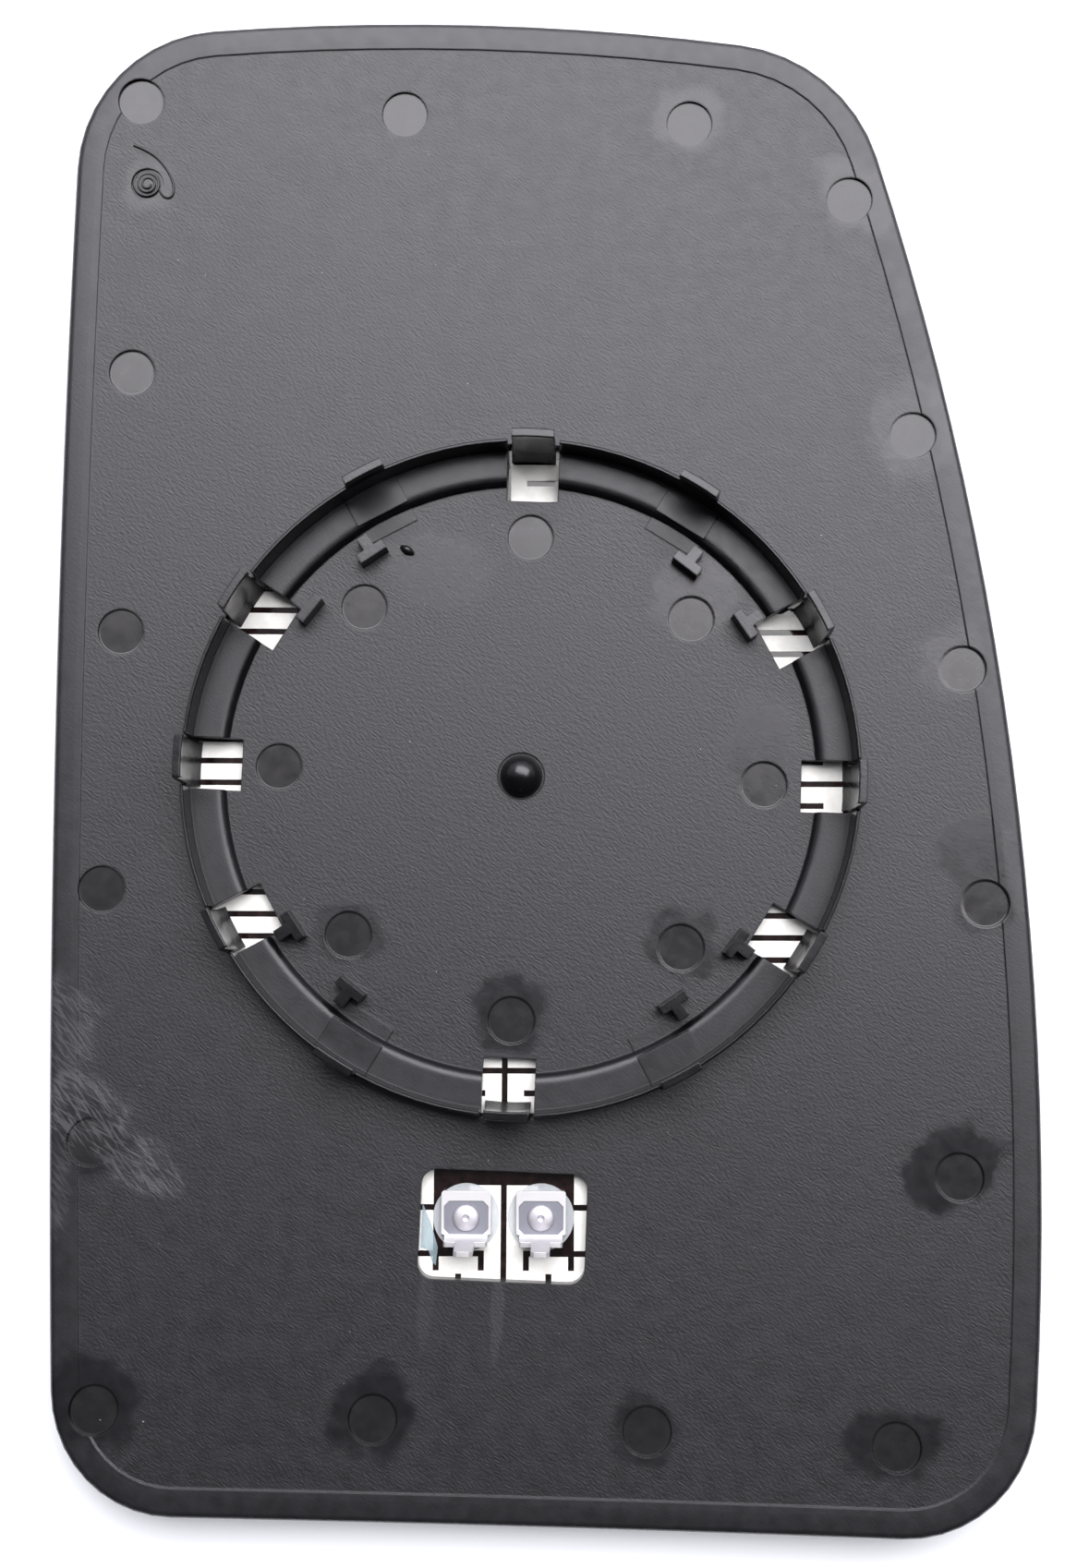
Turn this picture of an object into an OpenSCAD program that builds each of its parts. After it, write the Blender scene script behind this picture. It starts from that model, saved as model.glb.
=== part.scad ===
// Heated convex door mirror glass on its moulded backing plate, seen from the back.
// The origin is on the snap ring's axis, in the plane of the ring's flat seat.
// +X is to the right and +Y is up as seen from the back, and +Z points out of the back.
// The glass, the heater and the plate are layers between concentric spheres, so that each
// layer's surface is a level, counted in mm from the reflecting face towards the back.

/* [Outline] */
// Where the left and top sides would meet without a round corner
corner_top_left = [-73.5, 113]; // [-120:0.5:120]
// Where the left and bottom sides would meet
corner_bottom_left = [-64, -111.5]; // [-120:0.5:120]
// Where the right and bottom sides would meet
corner_bottom_right = [78, -109.5]; // [-120:0.5:120]
// Where the right and top sides would meet
corner_top_right = [46.5, 115]; // [-120:0.5:120]
// How far each side bows out: left, bottom, right, top
side_bulge = [3.5, 0.2, 13.5, 5]; // [0.2:0.1:20]
// Radius of each corner: top left, bottom left, bottom right, top right
corner_radius = [23.5, 19, 20, 26.5]; // [15:0.5:35]

/* [Mirror glass] */
// Radius of the convex reflecting face
face_radius = 1400; // [1200:50:2000]
// Thickness of the glass
glass_thickness = 2; // [1.6:0.1:3]
// Gap between the glass and the plate's lip
glass_gap = 0.2; // [0.1:0.05:0.5]

/* [Heater] */
// Thickness of the adhesive carrier film
film_thickness = 0.2; // [0.1:0.05:0.4]
// Thickness of the metal track
track_thickness = 0.15; // [0.1:0.05:0.3]
// How far the heater ends inside the glass
heater_inset = 3; // [1:0.5:8]
// Angle by which the heater is stuck on askew
heater_skew = 2; // [-3:0.5:3]
// Offset of the heater's centre line from the ring's axis
heater_centre = -2.3; // [-5:0.1:5]
// Distance between the gaps of two rows
row_pitch = 3.4; // [3:0.1:5]
// Width of the gap between two tracks
track_gap = 0.9; // [0.5:0.1:1.2]
// Half width of the heater's two middle blocks
block_width = 52.6; // [45:0.1:58]

/* [Backing plate] */
// Thickness of the plate's field
plate_thickness = 2; // [1.5:0.1:3]
// Width of the smooth rim
rim_width = 4.3; // [3.5:0.1:6]
// Height of the rim above the field
rim_rise = 0.15; // [0.1:0.05:0.5]
// Radius of the rim's outer edge
rim_rounding = 1.2; // [0.6:0.1:1.6]
// Thickness of the lip around the glass
lip_thickness = 1.2; // [0.8:0.1:2]
// How far the lip's edge stays back from the reflecting face
lip_setback = 0.3; // [0.2:0.1:0.8]
// Diameter of the ejector marks
mark_diameter = 7.1; // [5:0.1:9]
// Depth of the ejector marks
mark_depth = 0.15; // [0.1:0.05:0.3]

/* [Snap ring] */
// Inner diameter of the ring's wall
wall_diameter = 101.7; // [95:0.1:110]
// Height of the flat seat above the lowest point of the plate's back
seat_rise = 2.25; // [1.5:0.05:4]
// Radial width of the flat seat
seat_width = 3.85; // [3:0.05:5]
// Radius of the seat's round shoulder
shoulder_radius = 1.5; // [1:0.1:2]
// Height of the wall above the seat
wall_height = 4.95; // [3:0.05:7]
// Thickness of the wall at its foot
wall_thickness = 1.1; // [0.8:0.05:2]
// Height of the hooks above the seat
hook_height = 10.5; // [8:0.1:14]
// Width of a hook at its foot
hook_width = 7; // [5:0.1:7.2]
// How far a hook's lip reaches in over the seat
lip_reach = 0.9; // [0.4:0.05:1.5]
// Height of a hook's lip
lip_height = 1.95; // [1.4:0.05:3]
// Number of hooks
hook_count = 12; // [12:12:12]
// Width of the windows under the hooks
window_width = 8; // [7.6:0.1:9.5]
// Radial length of the windows, from the wall inwards
window_length = 7.65; // [6:0.05:9]

/* [Posts and knob] */
// Height of the posts above the field
post_height = 3.3; // [2:0.1:5]
// Distance of the posts from the ring's axis
post_place = 41.6; // [38:0.1:42]
// Angle between a post and the middle of its quadrant
post_spread = 9; // [5:0.5:20]
// Diameter of the centre knob
knob_diameter = 6.5; // [4:0.1:9]
// Height of the centre knob above the field
knob_height = 3.4; // [2:0.1:5]

/* [Terminals] */
// Width of the terminal window
opening_width = 25; // [22:0.5:30]
// Height of the terminal window
opening_height = 16.1; // [14:0.1:20]
// Corner radius of the terminal window
opening_radius = 2.4; // [1:0.1:4]
// Middle of the terminal window
opening_centre = [0, -68.1]; // [-80:0.1:80]
// Distance between the two terminals
terminal_spacing = 11.3; // [10:0.1:13]
// Distance of the rivets from the heater's cross line
terminal_place = -67; // [-70:0.1:-66]
// Width of a terminal's foot
foot_width = 7.5; // [6:0.1:8]
// Length of a terminal's foot beyond the rivet
foot_reach = 3.95; // [3:0.05:4.2]
// Distance from the rivet to the bend
bend_reach = 3.05; // [2.8:0.05:3.6]
// Thickness of the terminal's sheet
sheet_thickness = 0.8; // [0.5:0.1:0.8]
// Width of the blade
blade_width = 2.8; // [2.8:2:4.8]
// Height of the blade's tip above the foot
blade_height = 9.4; // [7:0.1:12]
// Width of the shoulder under the blade
shoulder_width = 6.5; // [5:0.1:7]
// Height of the shoulder above the foot
shoulder_height = 2.6; // [1.5:0.1:4]
// Diameter of the rivets' heads
rivet_diameter = 3.9; // [3:0.1:4.5]
// Height of the rivets' heads
rivet_height = 0.8; // [0.4:0.1:1.5]
// Diameter of the seal discs
disc_diameter = 10; // [9:0.1:11]
// Thickness of the seal discs
disc_thickness = 0.4; // [0.2:0.1:0.8]

/* [Hidden] */

// Levels of the layers
film_level = glass_thickness;
track_level = film_level + film_thickness;
under_level = track_level + track_thickness;
field_level = under_level + plate_thickness;
rim_level = field_level + rim_rise;
// Height of the reflecting face's lowest point and of the spheres' common centre
face_z = -(field_level + seat_rise);
centre_z = face_z + face_radius;

// Steps along the outline and around circles
side_step = 9;
corner_step = 9;
round_fn = 180;
ball_fn = 360;
small_fn = 48;

wall_radius = wall_diameter / 2;
seat_radius = wall_radius - seat_width;
window_radius = wall_radius - window_length;
// The slits beside the hooks end here, in the field outside the wall
slit_radius = wall_radius + wall_thickness + 0.25;
hook_step = 360 / hook_count;
// The hooks in the middle of each quadrant's side stand on the closed wall
closed_hooks = [60, 120, 240, 300];
insert_width = 8.8;
insert_rise = 0.12;
insert_radius = window_radius;
insert_edge_radius = wall_radius - 4.65;

post_head = [1.5, 4.7];
post_stem = [2.1, 1.8];
knob_well = 0.4;
knob_groove = 0.4;

// Places of the ejector marks
mark_places = [
    [-64, 104], [-22.5, 104], [22.5, 104], [48, 92.5], [59, 55.5], [-63.5, 61],
    [0, 37.5], [25.5, 25.5], [37.5, 0], [25.5, -25.5], [0, -37.5], [-25.5, -25.5],
    [-37.5, 0], [-25.5, 25.5], [-63, 20], [67.5, 19], [-63.5, -20], [71.5, -17],
    [-62.5, -58], [68, -58], [-59, -96.5], [-18, -96.5], [22.5, -96.5], [59, -97]];
scar_place = [-62.5, 91];
scar_radius = 2.3;

// Clearance between parts that lie on one another
seat_gap = 0.02;

// Height of a level above a point of the plane
function height_at(p, level) =
    centre_z - sqrt(pow(face_radius - level, 2) - p.x * p.x - p.y * p.y);

function heading(v) = atan2(v.y, v.x);
function after(first, angle) = angle < first ? angle + 360 : angle;
function arc(c, r, first, last, steps) =
    [for (i = [0:steps]) c + r * [cos(first + (last - first) * i / steps),
                                  sin(first + (last - first) * i / steps)]];

// The outline's four virtual corners, counter-clockwise, and its sides and corners as circles
corners = [corner_top_left, corner_bottom_left, corner_bottom_right, corner_top_right];
function side_circle(a, b, bulge) =
    let (chord = norm(b - a), r = (chord * chord / 4 + bulge * bulge) / (2 * bulge),
         t = (b - a) / chord, out = [t.y, -t.x])
    [(a + b) / 2 - out * (r - bulge), r];
function corner_centre(v, a, b, r) =
    let (ra = a[1] - r, rb = b[1] - r, d = norm(b[0] - a[0]), e = (b[0] - a[0]) / d,
         x = (ra * ra - rb * rb + d * d) / (2 * d), y = sqrt(ra * ra - x * x),
         p = a[0] + e * x + [-e.y, e.x] * y, q = a[0] + e * x - [-e.y, e.x] * y)
    norm(p - v) < norm(q - v) ? p : q;
sides = [for (i = [0:3]) side_circle(corners[i], corners[(i + 1) % 4], side_bulge[i])];
centres = [for (i = [0:3])
    corner_centre(corners[i], sides[(i + 3) % 4], sides[i], corner_radius[i])];

// Stations along the outline, each a circle's centre, an angle and a radius. A shift of half
// a step puts them between those of another outline.
function stations_on(c, r, first, last, step, shift) =
    let (n = max(2, ceil((last - first) / step)))
    [for (i = [0:n - 1]) [c, first + (last - first) * (i + shift) / n, r]];
function corner_stations(i, shift) =
    let (c = centres[i], first = heading(c - sides[(i + 3) % 4][0]),
         last = after(first, heading(c - sides[i][0])))
    stations_on(c, corner_radius[i], first, last, corner_step, shift);
function side_stations(i, shift) =
    let (c = sides[i][0], r = sides[i][1], first = heading(centres[i] - c),
         last = after(first, heading(centres[(i + 1) % 4] - c)))
    stations_on(c, r, first, last, side_step / r * 180 / PI, shift);
function stations_at(shift) =
    [for (i = [0:3]) each concat(corner_stations(i, shift), side_stations(i, shift))];
stations = stations_at(0);
between = stations_at(0.5);

function inside(station, inset) =
    station[0] + (station[2] - inset) * [cos(station[1]), sin(station[1])];
function outline(inset) = [for (s = stations) inside(s, inset)];
function outline_between(inset) = [for (s = between) inside(s, inset)];

// A solid ball whose surface is at the given level
module ball(level) {
    translate([0, 0, centre_z])
        rotate([90, 0, 0])
            sphere(r = face_radius - level, $fn = ball_fn);
}

// A layer between two levels, with the outline of its children
module layer(low, high) {
    difference() {
        intersection() {
            translate([0, 0, face_z - 1])
                linear_extrude(height = 30) children();
            ball(low);
        }
        ball(high);
    }
}

// Stands its children on a level, square to the sphere
module seated(p, level) {
    translate([p.x, p.y, height_at(p, level)])
        rotate(a = asin(norm(p) / (face_radius - level)), v = [p.y, -p.x, 0])
            children();
}

module ring_copies(angles) {
    for (a = angles) rotate([0, 0, a]) children();
}

module mirror_glass() {
    color([0.80, 0.84, 0.86])
        layer(0, film_level) polygon(outline(lip_thickness + glass_gap));
}

heater_edge = lip_thickness + glass_gap + heater_inset;

module heater_film() {
    color([0.10, 0.08, 0.08])
        layer(film_level, track_level) polygon(outline(heater_edge));
}

// One horizontal gap between two tracks, from one distance to another
module gap_row(from, to, v) {
    translate([from, v - track_gap / 2]) square([to - from, track_gap]);
}

module gap_column(u, from, to) {
    translate([u - track_gap / 2, from]) square([track_gap, to - from]);
}

first_row = -31;
last_row = 32;
pad_row = -21;
row_start = -1;
function row_place(k) = row_start + k * row_pitch;
// The terminal zone's half width, and the pads' reach from the centre line
zone_width = 10.65;
pad_reach = 5.2;
pad_top = terminal_place + 4.65;
zone_top_row = -17;
column_places = [3.4, 10.2];
notch_place = 6.8;

turn = row_pitch - track_gap / 2;
heater_reach = 90;

// The heater's gaps to the right of its centre line, apart from the outer block's odd rows
module heater_gaps() {
    for (k = [first_row:last_row]) {
        odd = k % 2 != 0;
        in_zone = k < zone_top_row && k >= pad_row - 1;
        start = in_zone ? (odd ? zone_width : zone_width + turn) : (odd ? -0.1 : turn);
        end = odd ? block_width - row_pitch : block_width;
        gap_row(start, end, row_place(k));
        if (!odd) gap_row(block_width + turn, heater_reach, row_place(k));
    }
    gap_column(0, row_place(first_row - 3), row_place(last_row));
    gap_column(block_width, row_place(first_row), row_place(last_row + 3));
    // The bare zone around the terminal pads
    zone_low = row_place(pad_row);
    translate([-0.1, pad_top])
        square([zone_width + 0.1, row_place(zone_top_row) - pad_top]);
    translate([pad_reach, zone_low])
        square([zone_width - pad_reach, pad_top - zone_low + 0.1]);
    gap_row(column_places[0] - track_gap / 2, zone_width, zone_low);
    for (u = column_places) gap_column(u, zone_low - row_pitch + track_gap, zone_low);
    gap_column(notch_place, row_place(pad_row - 2), zone_low - row_pitch + track_gap / 2);
}

// The outer blocks' odd rows, which stop where the track turns at the heater's edge
module outer_rows() {
    for (k = [first_row:last_row])
        if (k % 2 != 0) gap_row(block_width, heater_reach, row_place(k));
}

module on_centre_line() {
    rotate([0, 0, heater_skew]) translate([heater_centre, 0]) {
        children();
        mirror([1, 0]) children();
    }
}

module heater_pattern() {
    difference() {
        polygon(outline(heater_edge));
        on_centre_line() heater_gaps();
        intersection() {
            on_centre_line() outer_rows();
            polygon(outline_between(heater_edge + turn));
        }
    }
}

module heater_track() {
    color([0.93, 0.92, 0.90])
        layer(track_level, under_level) heater_pattern();
}

// The rim's section as insets from the outline and levels, counter-clockwise
function rim_section() =
    let (r = rim_rounding, top = rim_level, under = under_level + 0.05)
    concat(
        [[0, lip_setback]],
        [for (p = arc([r, top - r], r, 180, 90, 5)) p],
        [[rim_width, top],
         [rim_width + rim_rise * 2, field_level - rim_rise],
         [rim_width + rim_rise * 2, under + plate_thickness / 2],
         [rim_width - 0.6, under + 0.1],
         [lip_thickness, under],
         [lip_thickness, lip_setback]]);

// The rim and its lip, swept along the outline between the levels
module rim() {
    section = rim_section();
    n = len(section);
    m = len(stations);
    points = [for (s = stations) for (q = section)
        let (p = inside(s, q.x)) [p.x, p.y, height_at(p, q.y)]];
    faces = [for (i = [0:m - 1]) for (j = [0:n - 1])
        let (a = i * n + j, b = i * n + (j + 1) % n,
             c = ((i + 1) % m) * n + (j + 1) % n, d = ((i + 1) % m) * n + j)
        each [[a, b, c], [a, c, d]]];
    polyhedron(points, faces, convexity = 6);
}

module dish() {
    layer(under_level, field_level) polygon(outline_between(rim_width - 1.2));
}

// The seat with its round shoulder, and the wall around it
module ring() {
    buried = -seat_rise - plate_thickness / 3;
    foot = wall_radius + wall_thickness;
    rotate_extrude($fn = round_fn)
        polygon(concat(
            [[foot, buried], [wall_radius + 0.6, wall_height - 0.2],
             [wall_radius + 0.4, wall_height], [wall_radius + 0.15, wall_height],
             [wall_radius, wall_height - 0.2], [wall_radius, 0]],
            arc([seat_radius, -shoulder_radius], shoulder_radius, 90, 180, 6),
            [[seat_radius - shoulder_radius, buried]]));
}

// The closed hooks' inserts leave a raised patch in the field and a sharp edge on the seat
module insert_traces() {
    ring_copies(closed_hooks) {
        translate([insert_edge_radius, -insert_width / 2, -seat_rise])
            cube([wall_radius - insert_edge_radius + 0.4, insert_width, seat_rise + insert_rise]);
        intersection() {
            translate([insert_radius, -insert_width / 2, -seat_rise - 1])
                cube([wall_radius - insert_radius, insert_width, 3]);
            ball(field_level - 0.5);
            difference() {
                ball(0);
                ball(field_level + insert_rise);
            }
        }
    }
}

module window_cuts() {
    angles = [for (i = [0:hook_count - 1]) let (a = i * hook_step)
        if (len([for (c = closed_hooks) if (c == a) c]) == 0) a];
    ring_copies(angles)
        translate([window_radius, -window_width / 2, face_z])
            cube([slit_radius - window_radius, window_width, wall_height - face_z + 1]);
}

// One hook, a tapered finger with an inward lip and a foot that ramps into the window
module hook() {
    root = -seat_rise - plate_thickness * 0.45;
    inner = wall_radius + 0.03;
    top_outer = wall_radius + 0.45;
    foot_outer = wall_radius + wall_thickness + 0.6;
    lip_inner = wall_radius - lip_reach;
    lip_low = hook_height - lip_height;
    taper = 0.33;
    intersection() {
        rotate([0, 0, -8])
            rotate_extrude(angle = 16, $fn = round_fn)
                polygon([
                    [wall_radius - 0.95, root], [foot_outer + 1, root],
                    [foot_outer + 1, -seat_rise + 0.65], [foot_outer, -seat_rise + 0.75],
                    [foot_outer - 0.4, -seat_rise + 1.6],
                    [top_outer, hook_height - 0.15], [top_outer - 0.15, hook_height],
                    [lip_inner + 0.15, hook_height], [lip_inner, hook_height - 0.15],
                    [lip_inner, lip_low + lip_reach], [inner, lip_low],
                    [inner, -seat_rise + 1]]);
        rotate([90, 0, 90])
            linear_extrude(height = wall_radius * 1.5)
                polygon([[-hook_width / 2, root - 1], [hook_width / 2, root - 1],
                         [hook_width / 2 - taper, hook_height + 1],
                         [taper - hook_width / 2, hook_height + 1]]);
    }
}

// A T-shaped post with its stem pointing out
module post() {
    field_z = height_at([post_place, 0], field_level);
    translate([post_place, 0, field_z - plate_thickness / 2])
        linear_extrude(height = post_height + plate_thickness / 2)
            union() {
                square(post_head, center = true);
                translate([0, -post_stem.y / 2])
                    square([post_head.x / 2 + post_stem.x, post_stem.y]);
            }
}

module knob() {
    r = knob_diameter / 2;
    straight = knob_height - r;
    base = -seat_rise - plate_thickness / 2;
    translate([0, 0, base])
        cylinder(d = knob_diameter, h = straight - seat_rise - base, $fn = small_fn);
    translate([0, 0, straight - seat_rise])
        intersection() {
            sphere(r = r, $fn = small_fn);
            translate([0, 0, r - 0.05]) cube([2 * r + 1, 2 * r + 1, 2 * r], center = true);
        }
}

module knob_well_cut() {
    translate([0, 0, -seat_rise - knob_well])
        difference() {
            cylinder(d = knob_diameter + 2 * knob_groove, h = 2, $fn = small_fn);
            translate([0, 0, -1])
                cylinder(d = knob_diameter - 0.2, h = 4, $fn = small_fn);
        }
}

module mark_cuts() {
    for (p = mark_places)
        translate([p.x, p.y, height_at(p, field_level) - mark_depth])
            cylinder(d = mark_diameter, h = 1, $fn = small_fn);
}

module scar_cut() {
    translate([scar_place.x, scar_place.y, height_at(scar_place, field_level) - mark_depth])
        difference() {
            cylinder(r = scar_radius + 0.2, h = 1, $fn = small_fn);
            translate([0, 0, -1]) cylinder(r = scar_radius - 0.2, h = 3, $fn = small_fn);
        }
}

module opening_cut() {
    r = opening_radius;
    x = opening_width / 2 - r;
    y = opening_height / 2 - r;
    translate([opening_centre.x, opening_centre.y, face_z])
        linear_extrude(height = 20)
            polygon(concat(
                arc([x, y], r, 0, 90, 6), arc([-x, y], r, 90, 180, 6),
                arc([-x, -y], r, 180, 270, 6), arc([x, -y], r, 270, 360, 6)));
}

module backing_plate() {
    posts = [for (q = [45:90:315]) for (s = [-1, 1]) q + s * post_spread];
    color([0.30, 0.30, 0.32]) {
        difference() {
            union() {
                dish();
                rim();
                ring();
                insert_traces();
            }
            window_cuts();
            mark_cuts();
            scar_cut();
            opening_cut();
            knob_well_cut();
        }
        ring_copies([for (i = [0:hook_count - 1]) i * hook_step]) hook();
        ring_copies(posts) post();
        knob();
    }
}

// The heater's own point in the part's frame
function on_heater(u, v) =
    let (x = heater_centre + u, c = cos(heater_skew), s = sin(heater_skew))
    [x * c - v * s, x * s + v * c];
function rivet_place(side) = on_heater(side * terminal_spacing / 2, terminal_place);

// Stands its children on the heater at a terminal, turned as the heater is
module at_terminal(side) {
    seated(rivet_place(side), under_level + seat_gap) rotate([0, 0, heater_skew]) children();
}

rivet_hole = 2.2;
foot_low = disc_thickness + seat_gap;
foot_top = foot_low + sheet_thickness;
panel_depth = 0.15;

// The shallow octagonal panel pressed into a terminal's foot around the rivet
module panel_cut() {
    w = 3.4;
    h = 2.5;
    c = 0.8;
    translate([0, 0, foot_top - panel_depth])
        linear_extrude(height = 1)
            polygon([[w, h - c], [w - c, h], [c - w, h], [-w, h - c],
                     [-w, c - h], [c - w, -h], [w - c, -h], [w, c - h]]);
}

module terminal(side) {
    lean = 4;
    color([0.86, 0.86, 0.88])
        at_terminal(side) {
            difference() {
                translate([-foot_width / 2, -bend_reach - sheet_thickness / 2, foot_low])
                    cube([foot_width, foot_reach + bend_reach + sheet_thickness / 2,
                          sheet_thickness]);
                panel_cut();
                cylinder(d = rivet_hole, h = 6, center = true, $fn = small_fn);
            }
            translate([0, -bend_reach, foot_low])
                rotate([90 + lean, 0, 0])
                    linear_extrude(height = sheet_thickness)
                        blade_outline();
        }
}

// The upright part's outline: a shoulder, and the blade with its bevelled tip
module blade_outline() {
    s = shoulder_width / 2;
    b = blade_width / 2;
    top = sheet_thickness + blade_height;
    tip = 0.5;
    polygon([[-s, 0], [s, 0], [s, sheet_thickness + shoulder_height],
             [b, sheet_thickness + shoulder_height], [b, top - tip], [b - tip, top],
             [tip - b, top], [-b, top - tip], [-b, sheet_thickness + shoulder_height],
             [-s, sheet_thickness + shoulder_height]]);
}

module terminal_left() {
    terminal(-1);
}

module terminal_right() {
    terminal(1);
}

// A rivet with a shank in the foot and a low domed head
module rivet(side) {
    shank = rivet_hole / 2 - seat_gap;
    head = rivet_diameter / 2;
    low = foot_top - panel_depth + seat_gap;
    color([0.82, 0.81, 0.84])
        at_terminal(side)
            rotate_extrude($fn = small_fn)
                polygon([[0, seat_gap], [shank, seat_gap], [shank, low], [head, low],
                         [head, low + rivet_height * 0.35], [head - 0.35, low + rivet_height * 0.75],
                         [head * 0.55, low + rivet_height], [head * 0.3, low + rivet_height],
                         [0, low + rivet_height * 0.8]]);
}

module rivet_left() {
    rivet(-1);
}

module rivet_right() {
    rivet(1);
}

// A clear disc between a terminal's foot and the heater
module seal_disc(side) {
    color([0.75, 0.78, 0.80, 0.5])
        at_terminal(side)
            difference() {
                cylinder(d = disc_diameter, h = disc_thickness, $fn = small_fn);
                cylinder(d = rivet_hole, h = 4, center = true, $fn = small_fn);
            }
}

module seal_disc_left() {
    seal_disc(-1);
}

module seal_disc_right() {
    seal_disc(1);
}

// A remnant of the liner, lying on the heater in the left of the terminal window
module film_scrap() {
    left = opening_centre.x - opening_width / 2 + 0.2;
    y = opening_centre.y;
    color([0.72, 0.80, 0.86, 0.6])
        layer(under_level + seat_gap, under_level + seat_gap + 0.1)
            polygon([[left, y + 2.6], [left + 1.3, y], [left + 2.6, y - 3.8],
                     [left + 2.4, y - 6.4], [left + 1.9, y - 6], [left + 1.2, y - 4.2],
                     [left, y - 3.9]]);
}

mirror_glass();
heater_film();
heater_track();
backing_plate();
terminal_left();
terminal_right();
rivet_left();
rivet_right();
seal_disc_left();
seal_disc_right();
film_scrap();
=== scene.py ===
# %% [markdown]
# # A heated mirror glass, seen from the back
# The part lies face down: a convex mirror, a heater stuck to it, and a black moulded plate
# with a snap ring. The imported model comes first, because every piece takes its place from it.

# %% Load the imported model
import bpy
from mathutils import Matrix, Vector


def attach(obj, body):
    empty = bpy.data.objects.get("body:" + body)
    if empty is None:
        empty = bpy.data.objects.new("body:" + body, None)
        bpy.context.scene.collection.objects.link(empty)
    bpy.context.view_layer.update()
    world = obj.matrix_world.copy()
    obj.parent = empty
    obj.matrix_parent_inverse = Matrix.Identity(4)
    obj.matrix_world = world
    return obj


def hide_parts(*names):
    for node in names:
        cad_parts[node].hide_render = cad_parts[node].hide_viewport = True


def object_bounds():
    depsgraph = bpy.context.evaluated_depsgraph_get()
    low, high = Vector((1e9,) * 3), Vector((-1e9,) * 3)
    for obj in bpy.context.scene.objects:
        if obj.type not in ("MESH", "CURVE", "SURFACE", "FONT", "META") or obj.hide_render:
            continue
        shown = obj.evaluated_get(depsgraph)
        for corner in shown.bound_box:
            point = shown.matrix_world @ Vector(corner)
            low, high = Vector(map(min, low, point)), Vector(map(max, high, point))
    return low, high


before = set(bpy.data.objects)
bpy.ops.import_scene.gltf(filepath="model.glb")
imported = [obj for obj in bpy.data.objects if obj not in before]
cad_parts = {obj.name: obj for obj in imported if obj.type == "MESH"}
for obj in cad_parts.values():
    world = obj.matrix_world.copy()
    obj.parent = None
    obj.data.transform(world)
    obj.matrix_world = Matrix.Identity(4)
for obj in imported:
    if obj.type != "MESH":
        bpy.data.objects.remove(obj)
cad_box = [list(corner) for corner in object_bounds()]

import bmesh
import bpy
import math
from mathutils import Matrix, Vector

print("CAD nodes:", sorted(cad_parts))

# %% [markdown]
# ## Measures
# The glass, the heater and the plate are layers between spheres with one centre, so a place
# on them is a point of the plane and a level, counted from the reflecting face. Everything is
# written in millimetres and turned to metres once, where a mesh is made.

# %% Measures of the real part, in millimetres
MM = 0.001
FACE_RADIUS = 1400.0
GLASS, FOIL, FIELD = 2.0, 2.35, 4.35
SEAT_RISE = 2.25
CENTRE_Z = FACE_RADIUS - FIELD - SEAT_RISE
# The real grain is finer than a render can show, so it is drawn coarser
GRAIN_MM = 0.42
GRAIN_DEPTH_MM = 0.06

CORNERS = [(-73.5, 113.0), (-64.0, -111.5), (78.0, -109.5), (46.5, 115.0)]
BULGES = [3.5, 0.2, 13.5, 5.0]
CORNER_RADII = [23.5, 19.0, 20.0, 26.5]
GLASS_INSET = 1.4


def height_at(x, y, level):
    """Height of a level above a point of the plane."""
    return CENTRE_Z - math.sqrt((FACE_RADIUS - level) ** 2 - x * x - y * y)


print("field height at the axis and at the top:", height_at(0, 0, FIELD), height_at(0, 115, FIELD))

# %% [markdown]
# ## Camera
# The photograph was taken from about 25 cm above the plate, so the near hooks lean outwards.
# The camera could be matched by hand, with the picture behind the view. Its place and lens
# were worked out from the ring, the windows and the hooks instead.

# %% Camera
CAMERA_PLACE = (0.00655, -0.02381, 0.24973)
CAMERA_TURN = (5.175, 0.456, 2.227)
LENS_MM, SENSOR_MM = 25.024, 24.0
NEAREST_SEEN = 0.01
camera = bpy.data.objects.new("camera", bpy.data.cameras.new("camera"))
bpy.context.scene.collection.objects.link(camera)
camera.location = CAMERA_PLACE
camera.rotation_euler = [math.radians(angle) for angle in CAMERA_TURN]
camera.data.lens = LENS_MM
camera.data.sensor_width = SENSOR_MM
camera.data.clip_start = NEAREST_SEEN
bpy.context.scene.camera = camera
bpy.context.scene.view_settings.view_transform = "Standard"
print("camera at", CAMERA_PLACE)

# %% [markdown]
# ## Helpers
# Colours are written as the sRGB hex values that a picture shows, and Blender wants linear
# numbers, so one function turns them. One more adds a node with its settings and links, for
# materials and for Geometry Nodes alike.


# %% Colour and node helpers
def linear(code):
    """An sRGB hex colour as linear red, green, blue and alpha."""
    parts = [int(code[i:i + 2], 16) / 255 for i in (1, 3, 5)]
    return [p / 12.92 if p <= 0.04045 else ((p + 0.055) / 1.055) ** 2.4 for p in parts] + [1.0]


def add(tree, kind, inputs=None, output=0, **settings):
    """Adds one node, sets its choices, fills or links its inputs, and returns one output."""
    node = tree.nodes.new(kind)
    for name, value in settings.items():
        setattr(node, name, value)
    for key, value in (inputs or {}).items():
        if isinstance(value, bpy.types.NodeSocket):
            tree.links.new(value, node.inputs[key])
        else:
            node.inputs[key].default_value = value
    return node.outputs[output] if len(node.outputs) else node


def new_material(name):
    """An empty material and its node tree."""
    material = bpy.data.materials.new(name)
    material.use_nodes = True
    material.node_tree.nodes.clear()
    return material, material.node_tree


def close_material(tree, shader):
    add(tree, "ShaderNodeOutputMaterial", {"Surface": shader})


print("white as linear:", linear("#ffffff"))


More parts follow.
